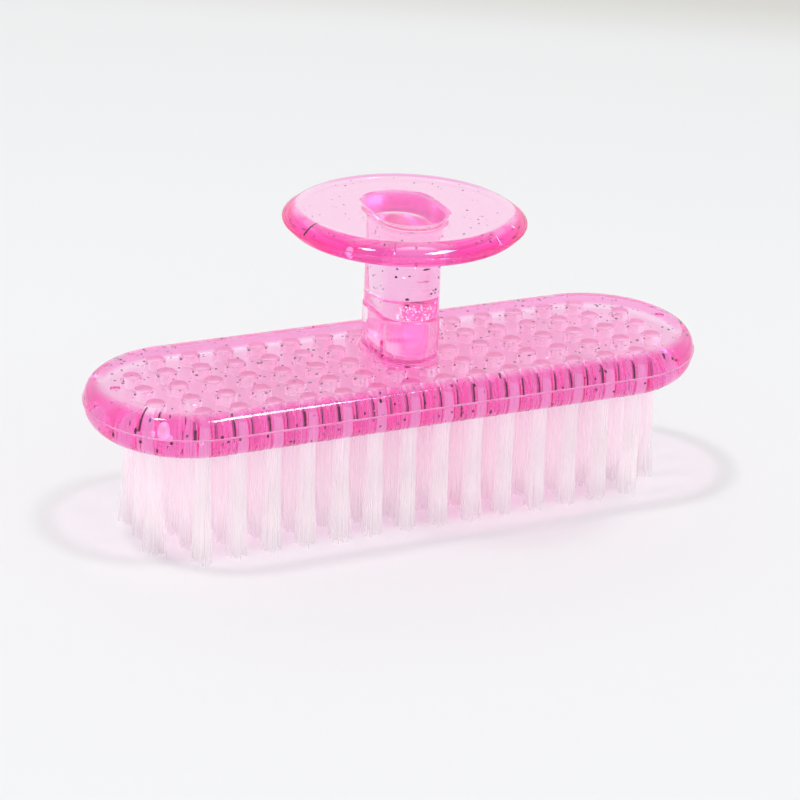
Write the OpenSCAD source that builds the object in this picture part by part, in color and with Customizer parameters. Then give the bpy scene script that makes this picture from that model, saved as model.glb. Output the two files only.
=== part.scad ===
// Nail brush: a clear moulded block set with bristle tufts, and a knob handle whose tenon plugs
// into a socket on the block. Millimetres. +X runs along the block and +Z is up. The origin is
// the middle of the plane that the trimmed bristle tips stand on.

/* [Block] */
// Length of the block, end to end
block_l = 95; // [88:0.5:110]
// Width of the block
block_w = 30; // [28:0.5:38]
// Height of the block above its parting line
block_upper_h = 3.05; // [2.8:0.05:4.5]
// Height of the block below its parting line
block_lower_h = 3.8; // [3.6:0.05:5]
// Radius of the rounding along the top edge
block_top_r = 2.7; // [1.5:0.1:2.7]
// Radius of the rounding along the bottom edge
block_bottom_r = 3.4; // [1.5:0.1:3.4]
// How far the moulding line stands out of the edges
lip_out = 0.18; // [0.1:0.02:0.4]
// Thickness of the moulding line
lip_t = 0.2; // [0.1:0.02:0.3]

/* [Tuft holes] */
// Distance from each end of the block to the centre of the nearest hole
end_margin = 8.05; // [7.5:0.05:10]
// Distance from each side of the block to the centre of the nearest hole
side_margin = 5; // [4.7:0.1:6]
// Diameter of a tuft hole
hole_d = 2.5; // [2.2:0.05:2.7]
// Depth of a tuft hole, from the bottom face
hole_depth = 4.95; // [4.4:0.05:5.4]

/* [Bristles] */
// Free length of the bristles, from the bottom face to the floor
bristle_l = 17.1; // [12:0.1:24]
// How deep the long tips are trimmed away to stand flat
trim_depth = 0.5; // [0.3:0.1:1]
// Room between a tuft's packed root and its hole, all round
tuft_gap = 0.04; // [0.02:0.01:0.08]
// Side of one strand, which stands for a bunch of filaments
strand_w = 0.58; // [0.4:0.02:0.6]
// How far a strand runs into the packed root
strand_root_l = 0.8; // [0.4:0.1:1.2]
// How far the outer strands keep from the side of the packed root
strand_inset = 0.1; // [0.08:0.01:0.15]
// How much wider a tuft is at its tips than at its root
tuft_flare = 1.3; // [1.05:0.05:1.5]
// Furthest that a tuft leans away from upright at its tips
tuft_lean = 0.35; // [0:0.05:0.5]

/* [Anchors] */
// Length of an anchor wire, across its tuft
anchor_l = 3.2; // [2.8:0.1:3.8]
// Height of an anchor wire
anchor_h = 1.5; // [1:0.1:1.8]
// Thickness of an anchor wire
anchor_t = 0.3; // [0.2:0.05:0.4]
// Thickness of the filaments folded over an anchor
anchor_fold_t = 0.9; // [0.6:0.1:1.2]
// Room between an anchor and the slots that hold it
anchor_gap = 0.03; // [0.02:0.01:0.06]

/* [Socket boss] */
// Width of the boss, along the block
boss_w = 9.1; // [8.4:0.1:11]
// Length of the boss, across the block
boss_l = 14.3; // [13.4:0.1:18]
// Height of the boss above the block
boss_h = 6.9; // [5:0.1:9]
// Radius of the boss's rim at the seam
boss_rim_r = 0.5; // [0.3:0.1:0.8]
// Radius of the fillet at the boss's foot
boss_foot_r = 0.7; // [0.4:0.1:1]
// Wall of the boss round its socket
socket_wall = 1.4; // [1.1:0.1:1.8]
// Depth of the socket, from the seam
socket_depth = 6; // [3:0.1:6.2]

/* [Knob] */
// Distance from the block's top to the underside of the knob's disc
grip_h = 18.75; // [14:0.25:26]
// Diameter of the disc, without its moulding line
knob_d = 34.6; // [30:0.2:42]
// Diameter of the disc's flat top
knob_flat_d = 29; // [24:0.2:29.6]
// Diameter of the disc's flat underside
knob_under_d = 30.4; // [24:0.2:31]
// Height of the disc above its parting line
knob_upper_h = 1.5; // [1.2:0.05:2]
// Height of the disc below its parting line
knob_lower_h = 1.8; // [1.5:0.05:2.1]
// Width of the stem, along the block
stem_w = 8.8; // [8:0.1:11]
// Length of the stem, across the block
stem_l = 14; // [13:0.1:18]
// Radius of the stem's rim at the seam
stem_rim_r = 0.55; // [0.3:0.05:0.8]
// Radius of the fillet between the stem and the disc
stem_top_r = 1; // [0.4:0.1:1.4]
// Room between the tenon and its socket, all round
tenon_gap = 0.04; // [0.02:0.01:0.1]
// Room between the tenon's end and the socket's floor
tenon_end_gap = 0.3; // [0.1:0.05:0.6]
// Size of the bevel round the tenon's end
tenon_bevel = 0.4; // [0.2:0.05:0.6]

/* [Knob recess] */
// Width of the recess at its mouth, along the block
recess_w = 9.6; // [7:0.1:10.5]
// Length of the recess at its mouth, across the block
recess_l = 14.4; // [12.5:0.1:16]
// Depth of the recess
recess_depth = 3.1; // [2:0.1:4]
// Width of the bevelled band round the mouth
recess_bevel_w = 0.8; // [0.3:0.05:1.1]
// Depth of the bevelled band round the mouth
recess_bevel_h = 0.3; // [0.15:0.05:0.5]
// How far the recess's walls draw in from its mouth to its floor
recess_draft = 0.25; // [0.1:0.05:0.4]

/* [Gate marks] */
// Diameter of the round mark near each end of the block
mark_d = 1.5; // [1:0.1:1.8]
// Depth of the round mark
mark_depth = 0.35; // [0.2:0.05:0.5]
// Distance from each end of the block to the centre of its mark
mark_margin = 3.9; // [3.8:0.05:4.5]

/* [Hidden] */
$fn = 48;

// How far a cut runs past the faces that it opens
overrun = 0.5;

// Heights above the floor
block_bottom_z = bristle_l;
block_parting_z = block_bottom_z + block_lower_h;
block_top_z = block_parting_z + block_upper_h;
hole_end_z = block_bottom_z + hole_depth;
anchor_top_z = hole_end_z - anchor_fold_t;
seam_z = block_top_z + boss_h;
socket_floor_z = seam_z - socket_depth;
knob_bottom_z = block_top_z + grip_h;
knob_parting_z = knob_bottom_z + knob_lower_h;
knob_top_z = knob_parting_z + knob_upper_h;

// Grid of tufts: the outer rows are one tuft shorter at each end than the middle rows
columns = 16;
rows = 5;
pitch_x = (block_l - 2 * end_margin) / (columns - 1);
pitch_y = (block_w - 2 * side_margin) / (rows - 1);

// One tuft: a strand in the middle and a ring of them, all spreading from the same axis
ring_strands = 5;
tuft_r = hole_d / 2 - tuft_gap;
ring_r = tuft_r - strand_w / 2 - strand_inset;
// Share of the strand's side that the middle strand keeps
middle_strand_share = 0.75;
// Turn from one tuft to the next, which keeps their strands from lining up
tuft_turn = 137.5;

socket_w = boss_w - 2 * socket_wall;
socket_l = boss_l - 2 * socket_wall;
tenon_w = socket_w - 2 * tenon_gap;
tenon_l = socket_l - 2 * tenon_gap;
tenon_end_z = socket_floor_z + tenon_end_gap;

// Radius of the arc that leaves a flat face level and drops by rise over run
function arc_r(run, rise) = (run * run + rise * rise) / (2 * rise);

// Place of the tuft in a column and a row, both counted from 0
function tuft_place(column, row) = [
    (column - (columns - 1) / 2) * pitch_x,
    ((rows - 1) / 2 - row) * pitch_y
];

// Rows that hold a tuft in a column: the corners of the grid are left out
function rows_of(column) = column == 0 || column == columns - 1 ? [1 : rows - 2] : [0 : rows - 1];

// Number of a tuft, counted along the grid
function tuft_number(column, row) = column * rows + row;

// Lean of a tuft at its tips, different for each
function lean_of(number) =
    let (way = number * tuft_turn, share = 0.5 + 0.5 * sin(number * tuft_turn / 2))
    tuft_lean * share * [cos(way), sin(way)];

// Corners of a strand's square section round a centre
function strand_ring(centre, side, turn, z) = [
    for (corner = [0 : 3])
        let (way = turn + 45 + 90 * corner)
        [centre.x + side / sqrt(2) * cos(way), centre.y + side / sqrt(2) * sin(way), z]
];

// Region under an arc that leaves the top level at the left and ends at the bottom right
module quarter_round(run, rise) {
    r = arc_r(run, rise);
    intersection() {
        translate([0, rise - r]) circle(r);
        square([run, rise]);
    }
}

// Half of a moulded edge's section, from the middle out: rounded above and below, with a
// moulding line where the two halves of the mould met
module moulded_edge(half_w, z_low, z_high, low_run, low_rise, high_run, high_rise, z_line) {
    translate([0, z_low]) square([half_w - low_run, z_high - high_rise - z_low]);
    translate([0, z_low + low_rise]) square([half_w - high_run, z_high - z_low - low_rise]);
    translate([0, z_low + low_rise]) square([half_w, z_high - high_rise - z_low - low_rise]);
    translate([half_w - high_run, z_high - high_rise]) quarter_round(high_run, high_rise);
    translate([half_w - low_run, z_low + low_rise]) mirror([0, 1]) quarter_round(low_run, low_rise);
    translate([0, z_line - lip_t / 2]) square([half_w + lip_out, lip_t]);
}

// Body with straight sides and round ends along X, made from half of its section
module racetrack(straight) {
    for (side = [-1, 1])
        translate([side * straight / 2, 0, 0])
            rotate(-90 * side)
                rotate_extrude(angle = 180) children();
    translate([-straight / 2, 0, 0])
        rotate([90, 0, 90])
            linear_extrude(straight) {
                children();
                mirror([1, 0]) children();
            }
}

// Blind hole for a tuft, with the two grooves that its anchor cut on the way in
module tuft_hole(place) {
    groove_h = anchor_top_z + anchor_gap - block_bottom_z + overrun;
    translate([place.x, place.y, block_bottom_z - overrun]) {
        cylinder(h = hole_depth + overrun, d = hole_d);
        translate([0, 0, groove_h / 2])
            cube([anchor_l + 2 * anchor_gap, anchor_t + 2 * anchor_gap, groove_h], center = true);
    }
}

module block_shell() {
    racetrack(block_l - block_w)
        moulded_edge(
            half_w = block_w / 2, z_low = block_bottom_z, z_high = block_top_z,
            low_run = block_bottom_r, low_rise = block_bottom_r,
            high_run = block_top_r, high_rise = block_top_r, z_line = block_parting_z
        );
}

// Boss round the socket, with a fillet at its foot and a rounded rim at the seam
module boss() {
    half_w = boss_w / 2;
    rotate(90) racetrack(boss_l - boss_w) {
        translate([0, block_parting_z]) square([half_w, seam_z - boss_rim_r - block_parting_z]);
        translate([0, block_top_z]) square([half_w - boss_rim_r, boss_h]);
        translate([half_w - boss_rim_r, seam_z - boss_rim_r]) quarter_round(boss_rim_r, boss_rim_r);
        translate([0, block_parting_z])
            square([half_w + boss_foot_r, block_top_z - block_parting_z]);
        difference() {
            translate([0, block_top_z]) square([half_w + boss_foot_r, boss_foot_r]);
            translate([half_w + boss_foot_r, block_top_z + boss_foot_r]) circle(boss_foot_r);
        }
    }
}

module socket() {
    rotate(90) racetrack(socket_l - socket_w)
        translate([0, socket_floor_z]) square([socket_w / 2, socket_depth + overrun]);
}

module brush_block() {
    color([0.95, 0.35, 0.68]) difference() {
        union() {
            block_shell();
            boss();
        }
        socket();
        for (column = [0 : columns - 1], row = rows_of(column)) tuft_hole(tuft_place(column, row));
        for (side = [-1, 1])
            translate([side * (block_l / 2 - mark_margin), 0, block_top_z - mark_depth])
                cylinder(h = mark_depth + overrun, d = mark_d);
    }
}

module knob_disc() {
    rotate_extrude() moulded_edge(
        half_w = knob_d / 2, z_low = knob_bottom_z, z_high = knob_top_z,
        low_run = (knob_d - knob_under_d) / 2, low_rise = knob_lower_h - lip_t / 2,
        high_run = (knob_d - knob_flat_d) / 2, high_rise = knob_upper_h - lip_t / 2,
        z_line = knob_parting_z
    );
}

// Stem under the disc, with a fillet at its top and a rounded rim at the seam
module knob_stem() {
    half_w = stem_w / 2;
    rotate(90) racetrack(stem_l - stem_w) {
        translate([0, seam_z + stem_rim_r])
            square([half_w, knob_parting_z - seam_z - stem_rim_r]);
        translate([0, seam_z]) square([half_w - stem_rim_r, stem_rim_r]);
        translate([half_w - stem_rim_r, seam_z + stem_rim_r])
            mirror([0, 1]) quarter_round(stem_rim_r, stem_rim_r);
        translate([0, knob_bottom_z])
            square([half_w + stem_top_r, knob_parting_z - knob_bottom_z]);
        difference() {
            translate([0, knob_bottom_z - stem_top_r]) square([half_w + stem_top_r, stem_top_r]);
            translate([half_w + stem_top_r, knob_bottom_z - stem_top_r]) circle(stem_top_r);
        }
    }
}

// Tenon below the stem, bevelled at its end, which fills the socket
module knob_tenon() {
    half_w = tenon_w / 2;
    rotate(90) racetrack(tenon_l - tenon_w) polygon([
        [0, seam_z + stem_rim_r], [half_w, seam_z + stem_rim_r],
        [half_w, tenon_end_z + tenon_bevel], [half_w - tenon_bevel, tenon_end_z],
        [0, tenon_end_z]
    ]);
}

// Hollow in the middle of the knob's top, with a bevelled mouth and tapered walls
module knob_recess() {
    half_w = recess_w / 2;
    floor_z = knob_top_z - recess_depth;
    rotate(90) racetrack(recess_l - recess_w) {
        polygon([
            [0, floor_z], [half_w - recess_draft, floor_z],
            [half_w, knob_top_z - recess_bevel_h],
            [half_w + recess_bevel_w, knob_top_z], [0, knob_top_z]
        ]);
        translate([0, knob_top_z - recess_bevel_h])
            square([half_w, recess_bevel_h + overrun]);
        translate([0, knob_top_z]) square([half_w + recess_bevel_w, overrun]);
    }
}

module knob_handle() {
    color([0.96, 0.42, 0.72]) difference() {
        union() {
            knob_disc();
            knob_stem();
            knob_tenon();
        }
        knob_recess();
    }
}

module anchor(place, gap) {
    translate([place.x, place.y, anchor_top_z - anchor_h / 2])
        cube([anchor_l + 2 * gap, anchor_t + 2 * gap, anchor_h + 2 * gap], center = true);
}

module tuft_anchors() {
    color([0.72, 0.72, 0.7])
        for (column = [0 : columns - 1], row = rows_of(column)) anchor(tuft_place(column, row), 0);
}

// One strand, from inside the packed root to the floor. It is laid out to a long tip, which is
// then trimmed level by stopping the strand where it meets the floor.
module strand(place, offset, side, turn, lean) {
    root_z = block_bottom_z + strand_root_l;
    long_tip = tuft_flare * offset + lean;
    trim_share = trim_depth / (root_z + trim_depth);
    tip = long_tip + (offset - long_tip) * trim_share;
    points = concat(
        strand_ring(place + tip, side, turn, 0),
        strand_ring(place + offset, side, turn, root_z)
    );
    walls = [for (i = [0 : 3]) let (j = (i + 1) % 4) each [[i, i + 4, j + 4], [i, j + 4, j]]];
    ends = [[0, 1, 2], [0, 2, 3], [4, 6, 5], [4, 7, 6]];
    polyhedron(points = points, faces = concat(walls, ends));
}

// One tuft: its root packed into the hole and folded over the anchor, with the strands fused to it
module tuft(place, number) {
    difference() {
        translate([place.x, place.y, block_bottom_z])
            cylinder(h = hole_depth - tuft_gap, r = tuft_r);
        anchor(place, anchor_gap);
    }
    lean = lean_of(number);
    turn = number * tuft_turn;
    strand(place, [0, 0], middle_strand_share * strand_w, turn, lean);
    for (i = [0 : ring_strands - 1]) {
        way = turn + 360 * i / ring_strands;
        strand(place, ring_r * [cos(way), sin(way)], strand_w, way, lean);
    }
}

module tufts_column(column) {
    color([0.93, 0.91, 0.93])
        for (row = rows_of(column)) tuft(tuft_place(column, row), tuft_number(column, row));
}

module tufts_column_01() { tufts_column(0); }
module tufts_column_02() { tufts_column(1); }
module tufts_column_03() { tufts_column(2); }
module tufts_column_04() { tufts_column(3); }
module tufts_column_05() { tufts_column(4); }
module tufts_column_06() { tufts_column(5); }
module tufts_column_07() { tufts_column(6); }
module tufts_column_08() { tufts_column(7); }
module tufts_column_09() { tufts_column(8); }
module tufts_column_10() { tufts_column(9); }
module tufts_column_11() { tufts_column(10); }
module tufts_column_12() { tufts_column(11); }
module tufts_column_13() { tufts_column(12); }
module tufts_column_14() { tufts_column(13); }
module tufts_column_15() { tufts_column(14); }
module tufts_column_16() { tufts_column(15); }

brush_block();
knob_handle();
tuft_anchors();
tufts_column_01();
tufts_column_02();
tufts_column_03();
tufts_column_04();
tufts_column_05();
tufts_column_06();
tufts_column_07();
tufts_column_08();
tufts_column_09();
tufts_column_10();
tufts_column_11();
tufts_column_12();
tufts_column_13();
tufts_column_14();
tufts_column_15();
tufts_column_16();
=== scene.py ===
"""Looks of a clear pink nail brush with a knob handle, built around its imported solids.

Lengths are in metres. +X runs along the block, +Y away from the front, +Z up, and the bristle
tips stand on z = 0. The block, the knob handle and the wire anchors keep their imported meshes
and get their finishes here. The bristles, the ends of the wires that bite into the plastic, the
glitter, the air bubbles and the fine lips along the parting lines are made here.
"""

import logging
import math
import random
from collections.abc import Iterator
from contextlib import contextmanager
from dataclasses import dataclass, field
from enum import Enum

import bpy
import numpy as np
from mathutils import Euler, Matrix, Vector

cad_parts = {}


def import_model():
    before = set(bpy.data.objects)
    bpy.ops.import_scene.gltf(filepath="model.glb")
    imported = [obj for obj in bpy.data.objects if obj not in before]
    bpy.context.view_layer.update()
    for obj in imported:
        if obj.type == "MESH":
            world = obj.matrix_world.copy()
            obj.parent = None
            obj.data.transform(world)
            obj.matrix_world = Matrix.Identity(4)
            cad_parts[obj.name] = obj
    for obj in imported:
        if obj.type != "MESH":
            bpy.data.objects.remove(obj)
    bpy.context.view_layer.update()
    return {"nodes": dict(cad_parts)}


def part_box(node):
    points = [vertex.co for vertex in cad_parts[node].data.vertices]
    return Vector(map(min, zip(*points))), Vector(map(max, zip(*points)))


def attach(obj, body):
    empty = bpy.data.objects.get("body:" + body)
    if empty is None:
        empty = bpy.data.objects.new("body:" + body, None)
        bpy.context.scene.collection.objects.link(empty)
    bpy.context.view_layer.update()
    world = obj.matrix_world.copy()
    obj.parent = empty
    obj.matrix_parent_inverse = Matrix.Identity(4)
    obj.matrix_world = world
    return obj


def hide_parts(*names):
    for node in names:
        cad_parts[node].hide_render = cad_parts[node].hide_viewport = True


LOG = logging.getLogger("nail_brush")

MM = 0.001
BODY = "root"
WHITE = (1.0, 1.0, 1.0, 1.0)
NOISE_BAND = (0.3, 0.7)
NOISE_MIDDLE = 0.5

Colour = tuple[float, float, float, float]
Point = tuple[float, float, float]
Range = tuple[float, float]
Piece = bpy.types.Object
Material = bpy.types.Material
Socket = bpy.types.NodeSocket


class Slot(Enum):
    """The names of the material slots."""

    PLASTIC = "clear_pink_plastic"
    NYLON = "bristle_nylon"
    WIRE = "anchor_wire"


def deselect_all() -> None:
    """Leaves edit mode if it is on and deselects every object."""
    if bpy.context.object is not None and bpy.context.object.mode != "OBJECT":
        bpy.ops.object.mode_set(mode="OBJECT")
    bpy.ops.object.select_all(action="DESELECT")


@contextmanager
def editing() -> Iterator[Piece]:
    """Opens the active object in edit mode, selected all over, and closes it at the end.

    Yields:
        The object that is edited.
    """
    bpy.ops.object.mode_set(mode="EDIT")
    bpy.ops.mesh.select_all(action="SELECT")
    yield bpy.context.object
    bpy.ops.object.mode_set(mode="OBJECT")


def prism(sides: int, rises: list[float]) -> Piece:
    """Models a flat polygon that is drawn up step by step.

    Args:
        sides: How many sides the polygon has. Its corners lie a unit from the middle.
        rises: How far each step draws it up.

    Returns:
        The closed prism, standing on the origin.
    """
    deselect_all()
    bpy.ops.mesh.primitive_circle_add(vertices=sides, radius=1.0, fill_type="NGON")
    with editing() as piece:
        for rise in rises:
            bpy.ops.mesh.extrude_region_move(TRANSFORM_OT_translate={"value": (0, 0, rise)})
        bpy.ops.mesh.select_all(action="SELECT")
        bpy.ops.mesh.normals_make_consistent(inside=False)
    return piece


def points_of(piece: Piece) -> np.ndarray:
    """Reads a mesh object's vertices.

    Args:
        piece: The mesh object.

    Returns:
        Its vertices, one row of x, y and z each.
    """
    points = np.zeros(len(piece.data.vertices) * 3, np.float32)
    piece.data.vertices.foreach_get("co", points)
    return points.reshape(-1, 3).astype(float)


def move_points(piece: Piece, points: np.ndarray) -> None:
    """Moves a mesh object's vertices to new places, one row of x, y and z each."""
    piece.data.vertices.foreach_set("co", points.astype(np.float32).ravel())
    piece.data.update()


def copy_of(pattern: Piece, points: np.ndarray) -> Piece:
    """Copies a modelled pattern, with its own mesh, and bends the copy to new points.

    Args:
        pattern: The object that was modelled once.
        points: The copy's vertices, one row of x, y and z each.

    Returns:
        The copy, linked to the scene.
    """
    copy = pattern.copy()
    copy.data = pattern.data.copy()
    move_points(copy, points)
    bpy.context.collection.objects.link(copy)
    return copy


def join(parts: list[Piece], name: str) -> Piece:
    """Joins mesh objects into one.

    Args:
        parts: The objects to join, all at the origin.
        name: The name of the joined object and its mesh.

    Returns:
        The joined object.
    """
    deselect_all()
    for part in parts:
        part.select_set(True)
    bpy.context.view_layer.objects.active = parts[0]
    if len(parts) > 1:
        bpy.ops.object.join()
    parts[0].name = parts[0].data.name = name
    return parts[0]


def remove(piece: Piece) -> None:
    """Deletes a pattern's mesh, and with it the pattern."""
    bpy.data.meshes.remove(piece.data)


def dress(piece: Piece, material: Material) -> None:
    """Puts one material in all of a piece's slots.

    Args:
        piece: The mesh object.
        material: The material of its finish.
    """
    if not piece.material_slots:
        piece.data.materials.append(material)
    for held in piece.material_slots:
        held.material = material


def settle(piece: Piece, material: Material) -> None:
    """Dresses a new piece, makes it ride with the brush and reports it.

    Args:
        piece: The finished shape, with its place in its mesh.
        material: The material of its finish.
    """
    dress(piece, material)
    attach(piece, BODY)
    LOG.info("%s: %d faces", piece.name, len(piece.data.polygons))


class NodeBench:
    """A node tree with short calls that add and join its nodes."""

    def __init__(self, tree: bpy.types.NodeTree) -> None:
        """Keeps the tree that the calls work on, emptied of its first nodes."""
        self.tree = tree
        self.tree.nodes.clear()

    def add(self, kind: str, feeds: dict[str | int, object] | None = None,
            **settings: object) -> bpy.types.Node:
        """Adds a node.

        Args:
            kind: The node's type, such as ShaderNodeMath.
            feeds: What its inputs get, by name or number, each a socket or a plain value.
            **settings: The node's own settings, by name.

        Returns:
            The new node.
        """
        node = self.tree.nodes.new(kind)
        for name, value in settings.items():
            setattr(node, name, value)
        for name, source in (feeds or {}).items():
            if isinstance(source, Socket):
                self.tree.links.new(source, node.inputs[name])
            else:
                node.inputs[name].default_value = source
        return node

    def math(self, operation: str, *sources: object) -> Socket:
        """Works out an operation, such as MULTIPLY, on sockets or numbers."""
        node = self.add("ShaderNodeMath", dict(enumerate(sources)), operation=operation)
        return node.outputs["Value"]

    def spread(self, value: Socket, low: float, high: float, to_low: float = 0.0,
               to_high: float = 1.0, smooth: bool = False) -> Socket:
        """Takes low to to_low and high to to_high.

        Args:
            value: The socket to map.
            low: The value that becomes to_low.
            high: The value that becomes to_high.
            to_low: The result at low and beyond it.
            to_high: The result at high and beyond it.
            smooth: Whether the result eases in and out.

        Returns:
            The result's socket.
        """
        feeds = {"Value": value, "From Min": low, "From Max": high, "To Min": to_low,
                 "To Max": to_high}
        kind = "SMOOTHSTEP" if smooth else "LINEAR"
        node = self.add("ShaderNodeMapRange", feeds, interpolation_type=kind, clamp=True)
        return node.outputs["Result"]

    def vary(self, noise: Socket, base: float, more: float) -> Socket:
        """Varies a value with a noise, from its base to its base and more."""
        return self.spread(noise, *NOISE_BAND, base, base + more)

    def noise(self, vector: Socket, scale: object, detail: float = 2.0) -> Socket:
        """Adds a noise of a scale, which is a socket or a number."""
        feeds = {"Vector": vector, "Scale": scale, "Detail": detail}
        return self.add("ShaderNodeTexNoise", feeds).outputs["Fac"]

    def stretch(self, vector: Socket, by: Point) -> Socket:
        """Multiplies a vector by a fixed one."""
        node = self.add("ShaderNodeVectorMath", {0: vector, 1: by}, operation="MULTIPLY")
        return node.outputs["Vector"]

    def along(self, vector: Socket, way: Point | Vector) -> Socket:
        """Measures how far a vector goes along a fixed way."""
        node = self.add("ShaderNodeVectorMath", {0: vector, 1: way}, operation="DOT_PRODUCT")
        return node.outputs["Value"]

    def blend(self, factor: object, first: object, second: object) -> Socket:
        """Mixes two colours by a factor, each of them a socket or a plain value."""
        feeds = {0: factor, 6: first, 7: second}
        return self.add("ShaderNodeMix", feeds, data_type="RGBA").outputs[2]

    def bump(self, height: Socket, distance: float, under: Socket | None = None) -> Socket:
        """Raises a relief on the surface.

        Args:
            height: The relief.
            distance: How high it stands.
            under: The normal of a relief that it lies on, if there is one.

        Returns:
            The normal's socket.
        """
        node = self.add("ShaderNodeBump", {"Height": height, "Distance": distance})
        if under is not None:
            self.tree.links.new(under, node.inputs["Normal"])
        return node.outputs["Normal"]

    def shader(self, kind: str, feeds: dict[str, object]) -> Socket:
        """Adds a shader node, such as BsdfPrincipled, and returns its output."""
        return self.add(f"ShaderNode{kind}", feeds).outputs[0]

    def see_through(self, colour: object = WHITE) -> Socket:
        """Adds a shader that light passes straight through, tinted by a colour."""
        return self.shader("BsdfTransparent", {"Color": colour})

    def mix_shader(self, factor: object, first: Socket, second: Socket) -> Socket:
        """Mixes two shaders by a factor."""
        return self.add("ShaderNodeMixShader", {0: factor, 1: first, 2: second}).outputs[0]

    def ray(self, kind: str) -> Socket:
        """Returns the socket that says whether a ray is of a kind, such as Is Shadow Ray."""
        path = self.tree.nodes.get("Light Path") or self.add("ShaderNodeLightPath")
        return path.outputs[kind]

    def place(self) -> Socket:
        """Adds Object coordinates."""
        return self.add("ShaderNodeTexCoord").outputs["Object"]


def new_material(name: str) -> tuple[Material, NodeBench]:
    """Makes an empty node material.

    Args:
        name: The material's name.

    Returns:
        The material, and the bench of its node tree.
    """
    material = bpy.data.materials.new(name)
    material.use_nodes = True
    return material, NodeBench(material.node_tree)


@dataclass(frozen=True)
class HairlineScuffs:
    """Fine handling marks that the plastics and the wire share: haze and thin scratches."""

    name: str = "hairline_scuffs"
    haze_detail: float = 4.0
    haze_band: Range = (0.35, 0.75)
    haze_relief: float = 0.25
    scratch_stretch: Point = (1.0, 7.0, 1.6)
    scratch_scale: float = 3.0
    scratch_detail: float = 1.0
    scratch_width: float = 0.006
    scratch_band: Range = (0.5, 0.62)
    scratch_haze: float = 0.12

    def group(self) -> bpy.types.NodeTree:
        """Builds the group at its first call.

        Returns:
            The node group, with a Roughness and a Height output.
        """
        made = bpy.data.node_groups.get(self.name)
        if made is not None:
            return made
        made = bpy.data.node_groups.new(self.name, "ShaderNodeTree")
        bench = NodeBench(made)
        for label, kind in (("Vector", "Vector"), ("Scale", "Float"),
                            ("Base Roughness", "Float"), ("Haze", "Float")):
            made.interface.new_socket(label, in_out="INPUT", socket_type=f"NodeSocket{kind}")
        for label in ("Roughness", "Height"):
            made.interface.new_socket(label, in_out="OUTPUT", socket_type="NodeSocketFloat")
        given = bench.add("NodeGroupInput").outputs
        haze = bench.noise(given["Vector"], given["Scale"], self.haze_detail)
        streak = bench.noise(bench.stretch(given["Vector"], self.scratch_stretch),
                             bench.math("MULTIPLY", given["Scale"], self.scratch_scale),
                             self.scratch_detail)
        from_line = bench.math("ABSOLUTE", bench.math("SUBTRACT", streak, NOISE_MIDDLE))
        scratch = bench.spread(from_line, 0.0, self.scratch_width, 1.0, 0.0)
        worn = bench.math("MULTIPLY", scratch, bench.spread(haze, *self.scratch_band))
        dulled = bench.math("MULTIPLY", given["Haze"], bench.spread(haze, *self.haze_band))
        rough = bench.math("ADD", given["Base Roughness"], dulled)
        rough = bench.math("ADD", rough, bench.math("MULTIPLY", worn, self.scratch_haze))
        height = bench.math("SUBTRACT", bench.math("MULTIPLY", haze, self.haze_relief), worn)
        bench.add("NodeGroupOutput", {"Roughness": rough, "Height": height})
        return made

    def place_in(self, bench: NodeBench, vector: Socket, scale: float, roughness: float,
                 haze: float) -> tuple[Socket, Socket]:
        """Places the group in a material.

        Args:
            bench: The material's bench.
            vector: The coordinates that the marks follow.
            scale: How fine the marks are, in cycles per metre.
            roughness: The roughness of the clean surface.
            haze: How much roughness the haze adds.

        Returns:
            The roughness, and the height of the marks.
        """
        feeds = {"Vector": vector, "Scale": scale, "Base Roughness": roughness, "Haze": haze}
        marks = bench.add("ShaderNodeGroup", feeds, node_tree=self.group()).outputs
        return marks["Roughness"], marks["Height"]


@dataclass(frozen=True)
class Zone:
    """A band of a part's surface, by height and by distance from the part's middle line.

    An end that is None leaves the band open on that side.
    """

    tint: Colour | None = None
    frost: float = 0.0
    low: float | None = None
    high: float | None = None
    inner: float | None = None
    outer: float | None = None
    soft: float = 0.1 * MM

    def mask(self, bench: NodeBench, height: Socket, reach: Socket) -> Socket:
        """Finds the band.

        Args:
            bench: The material's bench.
            height: The height of the point.
            reach: The point's distance from the middle line.

        Returns:
            A mask that is 1 in the band and 0 outside it.
        """
        found = 1.0
        for value, edge, beyond in ((height, self.low, 1.0), (height, self.high, 0.0),
                                    (reach, self.inner, 1.0), (reach, self.outer, 0.0)):
            if edge is not None:
                step = bench.spread(value, edge, edge + self.soft, 1.0 - beyond, beyond)
                found = bench.math("MULTIPLY", found, step)
        return found


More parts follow.
